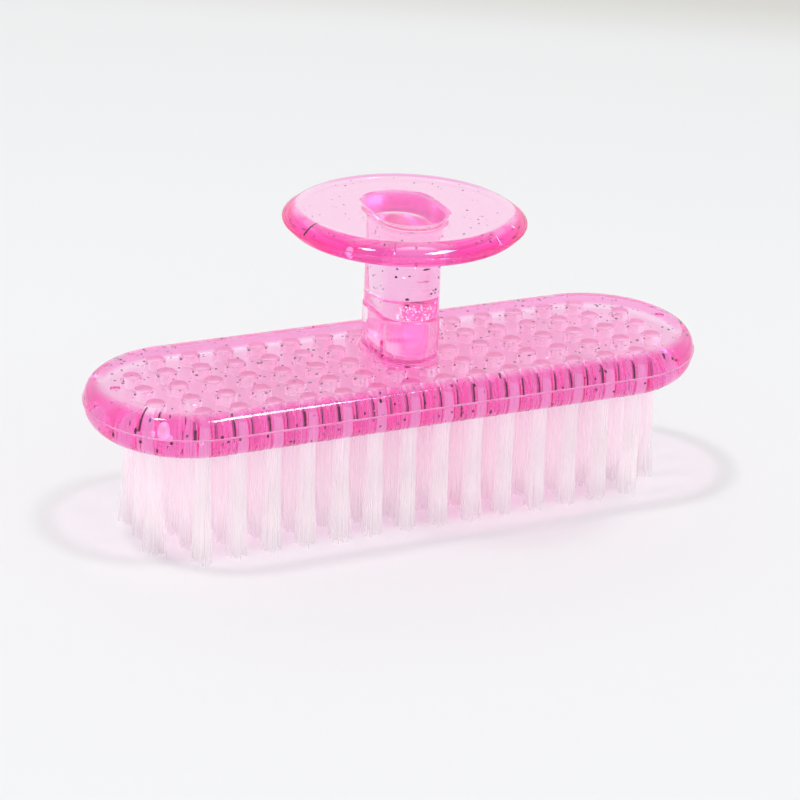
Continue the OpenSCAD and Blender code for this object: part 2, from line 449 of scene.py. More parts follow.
@dataclass(frozen=True)
class ClearPlastic:
    """Clear pink moulding plastic whose colour deepens with the depth of the plastic, with a
    faint painted glow.
    """

    name: str
    tint: Colour = (0.998, 0.99, 0.995, 1.0)
    shade_tint: Colour = (0.998, 0.99, 0.995, 1.0)
    zones: tuple[Zone, ...] = ()
    # painted glow: a faint pink emission that makes the plastic shine, though it is no lamp
    glow: Colour = (1.0, 0.05, 0.35, 1.0)
    painted_glow_strength: float = 0.012
    depth_colour: Colour = (0.998, 0.31, 0.78, 1.0)
    depth_density: float = 66.0
    ior: float = 1.5
    roughness: float = 0.015
    haze: float = 0.04
    scuff_scale: float = 320.0
    scuff_depth: float = 0.00005 * MM
    ripple_scale: float = 160.0
    ripple_depth: float = 0.0003 * MM
    rim_straight: float = 0.0
    rim_inner: float = 14.0 * MM
    rim_outer: float = 14.6 * MM
    edge_start: float = 0.05
    edge_end: float = 0.2
    edge_clearness: float = 0.1

    def material(self) -> Material:
        """Builds the material.

        Returns:
            A glass-like material with a depth tint and a faint painted glow, which lets the
            lamps' light through.
        """
        material, bench = new_material(self.name)
        where = bench.place()
        rough, marks = HairlineScuffs().place_in(bench, where, self.scuff_scale,
                                                 self.roughness, self.haze)
        ripple = bench.bump(bench.noise(where, self.ripple_scale), self.ripple_depth)
        height, reach = self.height_and_reach(bench, where)
        tint = self.tint
        # some zone tints are painted shade, given with the moulded parts
        for zone in self.zones:
            mask = zone.mask(bench, height, reach)
            rough = bench.math("MULTIPLY_ADD", mask, zone.frost, rough)
            tint = tint if zone.tint is None else bench.blend(mask, tint, zone.tint)
        # the emission here is the painted glow
        clear = bench.shader("BsdfPrincipled", {
            "Base Color": tint, "Roughness": rough, "IOR": self.ior,
            "Transmission Weight": 1.0, "Emission Color": self.glow,
            "Emission Strength": self.painted_glow_strength,
            "Normal": bench.bump(marks, self.scuff_depth, ripple)})
        glow = bench.mix_shader(bench.ray("Is Diffuse Ray"), clear, bench.see_through())
        lamps = bench.see_through(self.lamp_shade(bench, reach))
        depth = bench.shader("VolumeAbsorption", {"Color": self.depth_colour,
                                                  "Density": self.depth_density})
        bench.add("ShaderNodeOutputMaterial", {
            "Surface": bench.mix_shader(bench.ray("Is Shadow Ray"), glow, lamps),
            "Volume": depth})
        return material

    def height_and_reach(self, bench: NodeBench, where: Socket) -> tuple[Socket, Socket]:
        """Measures how high a point is and how far out it lies.

        Args:
            bench: The material's bench.
            where: Object coordinates.

        Returns:
            The height, and the distance from the part's middle line.
        """
        spot = bench.add("ShaderNodeSeparateXYZ", {"Vector": where}).outputs
        beyond = bench.math("SUBTRACT", bench.math("ABSOLUTE", spot["X"]), self.rim_straight)
        along = bench.math("MAXIMUM", beyond, 0.0)
        reach = bench.math("SQRT", bench.math(
            "ADD", bench.math("MULTIPLY", along, along),
            bench.math("MULTIPLY", spot["Y"], spot["Y"])))
        return spot["Z"], reach

    def lamp_shade(self, bench: NodeBench, reach: Socket) -> Socket:
        """Shades the lamps' light where the rounded rim bends it away.

        Args:
            bench: The material's bench.
            reach: The point's distance from the middle line.

        Returns:
            A colour, the tint on the flat of the plastic and dark round its rim.
        """
        facing = bench.add("ShaderNodeLayerWeight").outputs["Facing"]
        bent = bench.spread(facing, self.edge_start, self.edge_end, smooth=True)
        on_rim = bench.spread(reach, self.rim_inner, self.rim_outer)
        dark = (self.edge_clearness, self.edge_clearness, self.edge_clearness, 1.0)
        return bench.blend(bench.math("MULTIPLY", on_rim, bent), self.shade_tint, dark)


@dataclass(frozen=True)
class FrostedLipPaintedGleam:
    """Pale frosted plastic, for the fine lip along a mould's parting line. Its pale colour is
    partly a painted highlight, standing in for the light that the lip catches.
    """

    name: str
    # partly painted highlight: the pale colours stand in for the light that the lip catches
    pale: Colour = (1.0, 0.86, 0.94, 1.0)
    deep: Colour = (1.0, 0.62, 0.82, 1.0)
    passes: float = 0.4
    roughness: float = 0.25
    wear_scale: float = 260.0
    wear_band: Range = (0.4, 0.65)
    wear_haze: float = 0.2

    def material(self) -> Material:
        """Builds the material.

        Returns:
            A pale material that passes some light and varies along the lip; its paleness is
            partly a painted highlight.
        """
        material, bench = new_material(self.name)
        wear = bench.noise(bench.place(), self.wear_scale)
        lip = bench.shader("BsdfPrincipled", {
            "Base Color": bench.blend(bench.spread(wear, *self.wear_band), self.pale, self.deep),
            "Roughness": bench.vary(wear, self.roughness, self.wear_haze),
            "Transmission Weight": self.passes})
        shaded = bench.mix_shader(bench.ray("Is Shadow Ray"), lip, bench.see_through())
        bench.add("ShaderNodeOutputMaterial", {"Surface": shaded})
        return material


@dataclass(frozen=True)
class BristleNylon:
    """Milky white nylon that passes some of the light behind it."""

    name: str = "milky_nylon"
    pale: Colour = (1.0, 0.985, 0.99, 1.0)
    milky: Colour = (0.992, 0.945, 0.968, 1.0)
    passes: float = 0.3
    lamps_pass: Colour = (0.965, 0.965, 0.965, 1.0)
    roughness: float = 0.3
    streak_stretch: Point = (1.0, 1.0, 0.05)
    streak_scale: float = 2600.0
    streak_share: float = 0.5
    streak_haze: float = 0.15
    tone_share: float = 0.5

    def material(self) -> Material:
        """Builds the material.

        Returns:
            A milky material whose tone changes from filament to filament and along each.
        """
        material, bench = new_material(self.name)
        streaks = bench.noise(bench.stretch(bench.place(), self.streak_stretch),
                              self.streak_scale)
        tone = bench.add("ShaderNodeAttribute", attribute_name=Tufts.TONE).outputs["Fac"]
        both = bench.math("ADD", bench.math("MULTIPLY", streaks, self.streak_share),
                          bench.math("MULTIPLY", tone, self.tone_share))
        colour = bench.blend(both, self.pale, self.milky)
        front = bench.shader("BsdfPrincipled", {
            "Base Color": colour,
            "Roughness": bench.vary(streaks, self.roughness, self.streak_haze)})
        behind = bench.shader("BsdfTranslucent", {"Color": colour})
        shaded = bench.mix_shader(bench.ray("Is Shadow Ray"),
                                  bench.mix_shader(self.passes, front, behind),
                                  bench.see_through(self.lamps_pass))
        bench.add("ShaderNodeOutputMaterial", {"Surface": shaded})
        return material


@dataclass(frozen=True)
class DrawnWire:
    """Flattened steel wire with fine lengthwise marks."""

    name: str = "drawn_wire"
    bright: Colour = (0.62, 0.60, 0.58, 1.0)
    dull: Colour = (0.30, 0.28, 0.28, 1.0)
    roughness: float = 0.22
    haze: float = 0.2
    scuff_scale: float = 1500.0
    scuff_depth: float = 0.004 * MM

    def material(self) -> Material:
        """Builds the material.

        Returns:
            A brushed metal material.
        """
        material, bench = new_material(self.name)
        where = bench.place()
        rough, marks = HairlineScuffs().place_in(bench, where, self.scuff_scale,
                                                 self.roughness, self.haze)
        tarnish = bench.noise(where, self.scuff_scale)
        metal = bench.shader("BsdfPrincipled", {
            "Metallic": 1.0, "Base Color": bench.blend(tarnish, self.bright, self.dull),
            "Roughness": rough, "Normal": bench.bump(marks, self.scuff_depth)})
        bench.add("ShaderNodeOutputMaterial", {"Surface": metal})
        return material


class GlitterTone(Enum):
    """The tones of the glitter, each the colours that its flakes vary between."""

    DARK = ((0.020, 0.008, 0.016, 1.0), (0.09, 0.035, 0.065, 1.0))
    SILVER = ((0.93, 0.92, 0.92, 1.0), (0.75, 0.72, 0.76, 1.0))
    TEAL = ((0.12, 0.45, 0.42, 1.0), (0.30, 0.22, 0.50, 1.0))


@dataclass(frozen=True)
class GlitterFoil:
    """Mirror foil of one tone, cut into flakes."""

    tone: GlitterTone
    roughness: float = 0.35
    grain_scale: float = 700.0
    grain_band: Range = (0.35, 0.65)
    grain_haze: float = 0.15

    def material(self) -> Material:
        """Builds the material.

        Returns:
            A foil material whose tone changes from flake to flake.
        """
        material, bench = new_material(f"glitter_foil_{self.tone.name.lower()}")
        grain = bench.noise(bench.place(), self.grain_scale)
        foil = bench.shader("BsdfPrincipled", {
            "Metallic": 1.0,
            "Base Color": bench.blend(bench.spread(grain, *self.grain_band), *self.tone.value),
            "Roughness": bench.vary(grain, self.roughness, self.grain_haze)})
        bench.add("ShaderNodeOutputMaterial", {"Surface": foil})
        return material


@dataclass(frozen=True)
class TrappedAir:
    """The skin of an air bubble in the plastic, where light passes from plastic to air. Its
    white, partly opaque finish is in part a painted highlight, standing in for the bright
    reflection of the bubble's skin.
    """

    name: str = "trapped_air"
    # painted highlight in part: the white tint and the low clearness make the bubble look bright
    tint: Colour = (1.0, 0.98, 0.99, 1.0)
    ior: float = 1.0 / 1.5
    clearness: float = 0.3
    roughness: float = 0.02
    pucker_scale: float = 2200.0
    pucker_depth: float = 0.01 * MM
    pucker_haze: float = 0.05

    def material(self) -> Material:
        """Builds the material.

        Returns:
            A glass-like material with the plastic outside and air inside, painted white in part
            as a highlight.
        """
        material, bench = new_material(self.name)
        pucker = bench.noise(bench.place(), self.pucker_scale)
        skin = bench.shader("BsdfPrincipled", {
            "Base Color": self.tint, "IOR": self.ior, "Transmission Weight": self.clearness,
            "Roughness": bench.vary(pucker, self.roughness, self.pucker_haze),
            "Normal": bench.bump(pucker, self.pucker_depth)})
        passing = bench.see_through()
        glow = bench.mix_shader(bench.ray("Is Diffuse Ray"), skin, passing)
        shaded = bench.mix_shader(bench.ray("Is Shadow Ray"), glow, passing)
        bench.add("ShaderNodeOutputMaterial", {"Surface": shaded})
        return material


@dataclass(frozen=True)
class PaperSweep:
    """Matt white paper whose colour darkens a little towards the back of the set, a painted
    falloff of the light.
    """

    name: str = "paper_sweep"
    # the near, middle and far colours paint the falloff of light towards the back: painted shade
    near: Colour = (0.83, 0.838, 0.846, 1.0)
    middle: Colour = (0.795, 0.803, 0.806, 1.0)
    far: Colour = (0.645, 0.64, 0.60, 1.0)
    fall_direction: Point = (0.50, 0.85, 0.0)
    fall_near: float = 0.06
    fall_start: float = 0.25
    fall_end: float = 0.315
    gloss: float = 0.1
    roughness: float = 0.85
    tooth_scale: float = 900.0
    tooth_depth: float = 0.02 * MM
    tooth_haze: float = 0.1

    def material(self) -> Material:
        """Builds the material.

        Returns:
            A matt paper material with painted shade towards the back.
        """
        material, bench = new_material(self.name)
        where = bench.place()
        away = bench.along(where, self.fall_direction)
        # painted shade: the paper darkens with distance towards the back
        painted_slow_falloff = bench.spread(away, self.fall_near, self.fall_start)
        painted_falloff = bench.spread(away, self.fall_start, self.fall_end, smooth=True)
        tooth = bench.noise(where, self.tooth_scale)
        paper = bench.shader("BsdfPrincipled", {
            "Base Color": bench.blend(painted_falloff, bench.blend(painted_slow_falloff, self.near, self.middle), self.far),
            "Roughness": bench.vary(tooth, self.roughness, self.tooth_haze),
            "Specular IOR Level": self.gloss,
            "Normal": bench.bump(tooth, self.tooth_depth)})
        bench.add("ShaderNodeOutputMaterial", {"Surface": paper})
        return material


@dataclass
class HoleGrid:
    """Where the tufts stand in the block, read off the wire anchors that hold them."""

    columns: int = 16
    rows: int = 5
    anchor_length: float = 3.2 * MM
    anchor_thickness: float = 0.3 * MM
    hole_radius: float = 1.25 * MM
    fold_thickness: float = 0.9 * MM
    pitch_x: float = field(init=False)
    pitch_y: float = field(init=False)
    mouth_z: float = field(init=False)
    anchor_top_z: float = field(init=False)

    def __post_init__(self) -> None:
        """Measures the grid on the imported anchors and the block."""
        low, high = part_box("tuft_anchors")
        self.pitch_x = (high.x - low.x - self.anchor_length) / (self.columns - 1)
        self.pitch_y = (high.y - low.y - self.anchor_thickness) / (self.rows - 1)
        self.mouth_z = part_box("brush_block")[0].z
        self.anchor_top_z = high.z

    def column(self, number: int) -> list[Vector]:
        """Places the tufts of one column.

        Args:
            number: The column, counted from 0 at the left end.

        Returns:
            The middle of each tuft at its tips. The end columns have no outer tufts.
        """
        skipped = 1 if number in (0, self.columns - 1) else 0
        x = (number - (self.columns - 1) / 2) * self.pitch_x
        return [Vector((x, ((self.rows - 1) / 2 - row) * self.pitch_y, 0.0))
                for row in range(skipped, self.rows - skipped)]

    def places(self) -> Iterator[Vector]:
        """Yields the middle of every tuft at its tips."""
        for number in range(self.columns):
            yield from self.column(number)

    @property
    def hole_end_z(self) -> float:
        """The height of the closed end of the holes."""
        return self.anchor_top_z + self.fold_thickness


@dataclass
class Tufts:
    """The bristles: nylon filaments folded over the anchors, one piece for each column."""

    TONE = "filament_tone"
    LEG = "leg_number"

    grid: HoleGrid
    finish: BristleNylon = BristleNylon()
    filaments: int = 26
    filament_radius: float = 0.1 * MM
    filament_sides: int = 4
    bundle_radius: float = 1.12 * MM
    tip_flare: Range = (0.32, 0.6)
    flare_power: float = 2.0
    fold_radii: Point = (0.31 * MM, 0.51 * MM, 0.71 * MM)
    fold_half_width: float = 1.02 * MM
    fold_side_drop: float = 0.2 * MM
    fold_arc_drop: float = 0.15 * MM
    leg_heights: tuple[float, ...] = (0.0, 0.28, 0.58, 0.82)
    trim_spread: float = 0.4 * MM
    lean_spread: float = 0.07 * MM
    leg_spread: float = 0.05 * MM
    stray_share: float = 0.07
    stray_spread: float = 0.5 * MM
    turned_share: float = 0.5
    end_splay: float = 2.6
    splayed_columns: int = 2
    curve_power: float = 1.7
    seed: int = 7

    def build(self) -> None:
        """Models the tuft once, copies it to every hole and joins each column."""
        dice = random.Random(self.seed)
        pattern = self.tuft_pattern(dice)
        nylon = self.finish.material()
        for number in range(self.grid.columns):
            copies = [self.planted(pattern, place, dice) for place in self.grid.column(number)]
            piece = join(copies, f"bristles_column_{number + 1:02d}")
            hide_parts(f"tufts_column_{number + 1:02d}")
            settle(piece, nylon)
        remove(pattern)

    def tuft_pattern(self, dice: random.Random) -> Piece:
        """Bends a copy of the blank to each filament's route and joins them to a tuft.

        Args:
            dice: The source of each filament's tone.

        Returns:
            The tuft about the origin, with each point's leg and tone as attributes.
        """
        blank = self.blank()
        rings, turns = self.ring_of(blank)
        copies = []
        for number, (first, second) in enumerate(zip(*self.legs())):
            route = self.route(first, second, self.fold_radii[number % len(self.fold_radii)])
            copy = copy_of(blank, self.swept(route, rings, turns))
            legs = 2 * number + (rings > len(route) // 2)
            tones = np.full(len(rings), dice.random(), np.float32)
            for name, kind, values in ((self.LEG, "INT", legs.astype(np.int32)),
                                       (self.TONE, "FLOAT", tones)):
                held = copy.data.attributes.new(name, kind, "POINT")
                held.data.foreach_set("value", values)
            copies.append(copy)
        remove(blank)
        return join(copies, "tuft_pattern")

    def blank(self) -> Piece:
        """Models one straight filament.

        Returns:
            The filament, with a ring of points for each place on its route.
        """
        steps = len(self.route(Vector(), Vector(), self.fold_radii[0])) - 1
        piece = prism(self.filament_sides, [1.0] * steps)
        bpy.ops.object.shade_smooth()
        return piece

    @staticmethod
    def ring_of(blank: Piece) -> tuple[np.ndarray, np.ndarray]:
        """Returns the ring number of each of the blank's points, and its turn about it."""
        points = points_of(blank)
        return np.rint(points[:, 2]).astype(int), np.arctan2(points[:, 1], points[:, 0])

    def route(self, front: Vector, back: Vector, fold_radius: float) -> list[Vector]:
        """Lays out one filament from tip to tip over the anchor.

        Args:
            front: Where the front leg crosses the hole's mouth, from the tuft's middle.
            back: Where the back leg crosses it.
            fold_radius: How far from the anchor's top edge the filament folds.

        Returns:
            The points that the filament follows.
        """
        mouth, top = self.grid.mouth_z, self.grid.anchor_top_z
        fold_x = max(-self.fold_half_width, min(self.fold_half_width, (front.x + back.x) / 2))
        legs = []
        for leg, side in ((front, -1.0), (back, 1.0)):
            points = []
            for z in (share * mouth for share in self.leg_heights):
                wide, deep = (flare * (1.0 - z / mouth) ** self.flare_power
                              for flare in self.tip_flare)
                points.append(Vector((leg.x * (1.0 + wide), leg.y * (1.0 + deep), z)))
            points.append(Vector((leg.x, leg.y, mouth)))
            points.append(Vector((fold_x, side * fold_radius, top - self.fold_side_drop)))
            legs.append(points)
        arc = [Vector((fold_x, fold_radius * math.sin(angle),
                       top - self.fold_arc_drop + fold_radius * math.cos(angle)))
               for angle in (-math.pi / 4, 0.0, math.pi / 4)]
        return legs[0] + arc + legs[1][::-1]

    def legs(self) -> tuple[list[Vector], list[Vector]]:
        """Packs the legs evenly in the hole's mouth.

        Returns:
            The front legs and the back legs, in pairs from left to right.
        """
        golden = math.pi * (3.0 - math.sqrt(5.0))
        count = 2 * self.filaments
        spots = []
        for number in range(count):
            reach = self.bundle_radius * math.sqrt((number + 0.5) / count)
            turn = golden * number
            spots.append(Vector((reach * math.cos(turn), reach * math.sin(turn), 0.0)))
        spots.sort(key=lambda spot: spot.y)
        front = sorted(spots[:self.filaments], key=lambda spot: spot.x)
        back = sorted(spots[self.filaments:], key=lambda spot: spot.x)
        return front, back

    def swept(self, route: list[Vector], rings: np.ndarray, turns: np.ndarray) -> np.ndarray:
        """Places the blank's points round a route.

        Args:
            route: The points that the filament follows.
            rings: The ring number of each of the blank's points.
            turns: The turn of each of the blank's points about its ring.

        Returns:
            The new points.
        """
        line = np.array([list(point) for point in route])
        ahead = np.gradient(line, axis=0)
        ahead /= np.linalg.norm(ahead, axis=1)[:, None]
        across = np.array([1.0, 0.0, 0.0]) - ahead * ahead[:, :1]
        across /= np.linalg.norm(across, axis=1)[:, None]
        aside = np.cross(ahead, across)
        return line[rings] + self.filament_radius * (np.cos(turns)[:, None] * across[rings]
                                                     + np.sin(turns)[:, None] * aside[rings])

    def planted(self, pattern: Piece, place: Vector, dice: random.Random) -> Piece:
        """Copies the tuft to a hole, with its own lean, flare and ragged ends.

        Args:
            pattern: The tuft about the origin.
            place: The middle of the hole.
            dice: The source of the lean and the ragged ends.

        Returns:
            The copy, in its hole.
        """
        points = points_of(pattern)
        legs = np.zeros(len(points), np.int32)
        pattern.data.attributes[self.LEG].data.foreach_get("value", legs)
        if dice.random() < self.turned_share:
            points[:, :2] *= -1.0
        count = 2 * self.filaments
        loose = self.looseness(place)
        lean = Vector((dice.gauss(0.0, self.lean_spread), dice.gauss(0.0, self.lean_spread)))
        lean += Vector((math.copysign(self.lean_spread, place.x) * (loose - 1.0), 0.0))
        shift, trim = np.zeros((count, 2)), np.zeros(count)
        for leg in range(count):
            reach = self.leg_spread * loose
            if dice.random() < self.stray_share * loose:
                reach = self.stray_spread
            shift[leg] = (lean.x + dice.gauss(0.0, reach), lean.y + dice.gauss(0.0, reach))
            trim[leg] = abs(dice.gauss(0.0, self.trim_spread))
        mouth = self.grid.mouth_z
        below = np.clip((mouth - points[:, 2]) / mouth, 0.0, 1.0)
        points[:, :2] += shift[legs] * (below ** self.curve_power)[:, None]
        points[:, 2] += trim[legs] * below
        points[:, :2] += np.array(place.xy)
        return copy_of(pattern, points)

    def looseness(self, place: Vector) -> float:
        """Says how loosely a tuft stands.

        Args:
            place: The middle of the tuft's hole.

        Returns:
            1 along the block, and more at its two ends.
        """
        last = (self.grid.columns - 1) / 2 * self.grid.pitch_x
        from_end = (last - abs(place.x)) / self.grid.pitch_x
        return 1.0 + self.end_splay * max(0.0, 1.0 - from_end / self.splayed_columns)


@dataclass
class WireBites:
    """The ends of the anchor wires, bitten into the plastic on both sides of every hole."""

    grid: HoleGrid
    finish: DrawnWire = DrawnWire("dark_wire", bright=(0.16, 0.10, 0.12, 1.0),
                                  dull=(0.04, 0.02, 0.03, 1.0))
    start: float = 1.0 * MM
    reach: Range = (1.30 * MM, 1.50 * MM)
    thickness: float = 0.40 * MM
    height: float = 0.85 * MM
    wire_height: float = 1.5 * MM
    edge: float = 0.04
    seed: int = 11

    def build(self) -> None:
        """Cuts one wire end and copies it to both sides of every hole."""
        dice = random.Random(self.seed)
        pattern = self.wire_end()
        rest = points_of(pattern)
        middle_z = self.grid.anchor_top_z - self.wire_height + self.height / 2
        copies = []
        for place in self.grid.places():
            for side in (-1.0, 1.0):
                reach = dice.uniform(*self.reach)
                size = np.array([reach - self.start, self.thickness, self.height])
                middle = np.array([place.x + side * (self.start + reach) / 2, place.y, middle_z])
                copies.append(copy_of(pattern, rest * size + middle))
        settle(join(copies, "anchor_wire_ends"), self.finish.material())
        remove(pattern)

    def wire_end(self) -> Piece:
        """Models one wire end.

        Returns:
            The wire end, a unit long on each side, with its cut edges eased.
        """
        deselect_all()
        bpy.ops.mesh.primitive_cube_add(size=1.0)
        with editing() as piece:
            bpy.ops.mesh.bevel(offset=self.edge, segments=1)
        return piece


@dataclass
class BlockSpace:
    """The plastic of the block, away from its holes and its socket."""

    grid: HoleGrid
    skin: float = 0.35 * MM
    top_z: float = 23.95 * MM
    low_round: float = 3.4 * MM
    high_round: float = 2.7 * MM
    groove_half: float = 0.2 * MM
    socket_half: Range = (5.0 * MM, 7.7 * MM)
    low: Vector = field(init=False)
    high: Vector = field(init=False)
    places: list[Vector] = field(init=False)

    def __post_init__(self) -> None:
        """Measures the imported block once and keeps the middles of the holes."""
        self.low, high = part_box("brush_block")
        self.high = Vector((high.x, high.y, self.top_z))
        self.places = list(self.grid.places())

    def holds(self, spot: Vector) -> bool:
        """Says whether a point lies in solid plastic.

        Args:
            spot: The point.

        Returns:
            Whether it is a skin's thickness or more from any surface.
        """
        straight = self.high.x - self.high.y
        reach = math.hypot(max(abs(spot.x) - straight, 0.0), spot.y)
        limit = self.high.y - self.rounding(spot.z - self.low.z) - self.skin
        in_socket = abs(spot.x) < self.socket_half[0] and abs(spot.y) < self.socket_half[1]
        within = self.low.z + self.skin < spot.z < self.high.z - self.skin
        return within and reach < limit and not in_socket and self.clear_of_holes(spot)

    def rounding(self, height: float) -> float:
        """Measures how far the rounded edges draw in the side.

        Args:
            height: The height over the bottom.

        Returns:
            How far in the side lies there.
        """
        whole = self.high.z - self.low.z
        drawn_in = 0.0
        for radius, beyond in ((self.low_round, self.low_round - height),
                               (self.high_round, height - (whole - self.high_round))):
            share = max(beyond, 0.0) / radius
            drawn_in += radius * (1.0 - math.sqrt(max(1.0 - share * share, 0.0)))
        return drawn_in

    def clear_of_holes(self, spot: Vector) -> bool:
        """Says whether a point is away from every hole and groove.

        Args:
            spot: The point.

        Returns:
            Whether it is a skin's thickness or more from all of them.
        """
        if spot.z > self.grid.hole_end_z + self.skin:
            return True
        half_groove = self.grid.anchor_length / 2 + self.skin
        for place in self.places:
            aside = spot - place
            if math.hypot(aside.x, aside.y) < self.grid.hole_radius + self.skin:
                return False
            if abs(aside.x) < half_groove and abs(aside.y) < self.skin + self.groove_half:
                return False
        return True


@dataclass
class KnobSpace:
    """The plastic of the knob's disc and stem, away from the finger recess."""

    skin: float = 0.45 * MM
    disc_thickness: float = 3.3 * MM
    disc_round: float = 1.5 * MM
    stem_half: Range = (4.4 * MM, 7.0 * MM)
    recess_half: Range = (5.0 * MM, 7.5 * MM)
    recess_depth: float = 3.3 * MM
    seam_z: float = 30.85 * MM
    low: Vector = field(init=False)
    high: Vector = field(init=False)

    def __post_init__(self) -> None:
        """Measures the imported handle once, from the stem's seam up."""
        low, self.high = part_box("knob_handle")
        self.low = Vector((low.x, low.y, self.seam_z))

    def holds(self, spot: Vector) -> bool:
        """Says whether a point lies in solid plastic.

        Args:
            spot: The point.

        Returns:
            Whether it is about a skin's thickness or more from any surface.
        """
        under_z = self.high.z - self.disc_thickness
        in_disc = (under_z + self.skin < spot.z < self.high.z - self.skin
                   and math.hypot(spot.x, spot.y) < self.high.x - self.disc_round - self.skin)
        in_stem = (self.low.z + self.skin < spot.z <= under_z + self.skin
                   and abs(spot.x) < self.stem_half[0] - self.skin
                   and abs(spot.y) < self.stem_half[1] - 2 * self.skin)
        in_recess = (spot.z > self.high.z - self.recess_depth - self.skin
                     and abs(spot.x) < self.recess_half[0] + self.skin
                     and abs(spot.y) < self.recess_half[1] + self.skin)
        return (in_disc or in_stem) and not in_recess


@dataclass
class Glitter:
    """Foil flakes that float in the plastic of one part, one piece for each tone."""

    part: str
    space: BlockSpace | KnobSpace
    counts: dict[GlitterTone, int]
    sides: int = 6
    radius: Range = (0.11 * MM, 0.26 * MM)
    thickness: float = 0.14 * MM
    seed: int = 21

    def build(self) -> None:
        """Cuts one flake, copies it through the plastic and joins each tone."""
        dice = random.Random(self.seed)
        pattern = prism(self.sides, [self.thickness / max(self.radius)])
        rest = points_of(pattern)
        for tone, count in self.counts.items():
            copies = [copy_of(pattern, self.scattered(rest, dice)) for _ in range(count)]
            settle(join(copies, f"glitter_{tone.name.lower()}_{self.part}"),
                   GlitterFoil(tone).material())
        remove(pattern)

    def scattered(self, rest: np.ndarray, dice: random.Random) -> np.ndarray:
        """Turns, sizes and places the flake's points somewhere in the plastic.

        Args:
            rest: The flake's points about the origin.
            dice: The source of the size, turn and place.

        Returns:
            The points of the placed flake.
        """
        low, high = self.space.low, self.space.high
        while True:
            spot = Vector([dice.uniform(low[axis], high[axis]) for axis in range(3)])
            if self.space.holds(spot):
                break
        turn = Euler([dice.uniform(0.0, 2.0 * math.pi) for _ in range(3)]).to_matrix()
        size = dice.uniform(*self.radius)
        return rest @ np.array(turn).T * size + np.array(spot)


@dataclass
class Bubbles:
    """Air bubbles trapped in the moulding: a few large ones and a line at the stem's seam."""

    finish: TrappedAir = TrappedAir()
    segments: int = 16
    rings: int = 10
    stretch: Point = (1.0, 0.8, 0.75)
    spots: tuple[tuple[Point, float], ...] = (
        ((-40.2 * MM, -10.9 * MM, 21.5 * MM), 1.15 * MM),
        ((-41.6 * MM, -10.5 * MM, 21.2 * MM), 0.45 * MM),
        ((-39.6 * MM, -11.9 * MM, 21.0 * MM), 0.40 * MM),
        ((-34.9 * MM, -8.5 * MM, 22.95 * MM), 0.40 * MM),
        ((-35.6 * MM, -12.9 * MM, 20.2 * MM), 0.45 * MM),
        ((-12.7 * MM, -9.9 * MM, 44.1 * MM), 0.70 * MM),
        ((12.0 * MM, -9.5 * MM, 44.0 * MM), 0.30 * MM),
    )
    seam_count: int = 110
    seam_radius: Range = (0.05 * MM, 0.15 * MM)
    seam_low: Point = (-3.4 * MM, -6.3 * MM, 31.1 * MM)
    seam_high: Point = (2.6 * MM, -5.5 * MM, 33.3 * MM)
    seed: int = 5

    def build(self) -> None:
        """Blows one bubble and copies it to every place."""
        dice = random.Random(self.seed)
        pattern = self.bubble()
        rest = points_of(pattern)
        spots = list(self.spots)
        for _ in range(self.seam_count):
            middle = tuple(dice.uniform(*ends) for ends in zip(self.seam_low, self.seam_high))
            spots.append((middle, dice.uniform(*self.seam_radius)))
        copies = []
        for middle, radius in spots:
            turn = Euler([dice.uniform(0.0, math.pi) for _ in range(3)]).to_matrix()
            copies.append(copy_of(pattern, rest @ np.array(turn).T * radius + np.array(middle)))
        settle(join(copies, "air_bubbles"), self.finish.material())
        remove(pattern)

    def bubble(self) -> Piece:
        """Models one bubble.

        Returns:
            A ball of about a unit, squashed a little, as the flow leaves it.
        """
        deselect_all()
        bpy.ops.mesh.primitive_uv_sphere_add(segments=self.segments, ring_count=self.rings,
                                             radius=1.0)
        with editing() as piece:
            bpy.ops.transform.resize(value=self.stretch)
        bpy.ops.object.shade_smooth()
        return piece


@dataclass
class PartingLip:
    """The fine lip that the two halves of the mould leave round a part."""

    part: str
    finish: FrostedLipPaintedGleam | ClearPlastic
    height: float
    radius: float
    thickness: float
    straight: float = 0.0
    turns: int = 160
    sides: int = 10

    def build(self) -> None:
        """Models the lip as a ring and draws it out along the part's straight sides."""
        deselect_all()
        bpy.ops.mesh.primitive_torus_add(major_radius=self.radius,
                                         minor_radius=self.thickness / 2,
                                         major_segments=self.turns, minor_segments=self.sides)
        piece = bpy.context.object
        points = points_of(piece)
        points[:, 0] += np.sign(np.round(points[:, 0], 7)) * self.straight
        points[:, 2] += self.height
        move_points(piece, points)
        bpy.ops.object.shade_smooth()
        piece.name = f"parting_lip_{self.part}"
        settle(piece, self.finish.material())


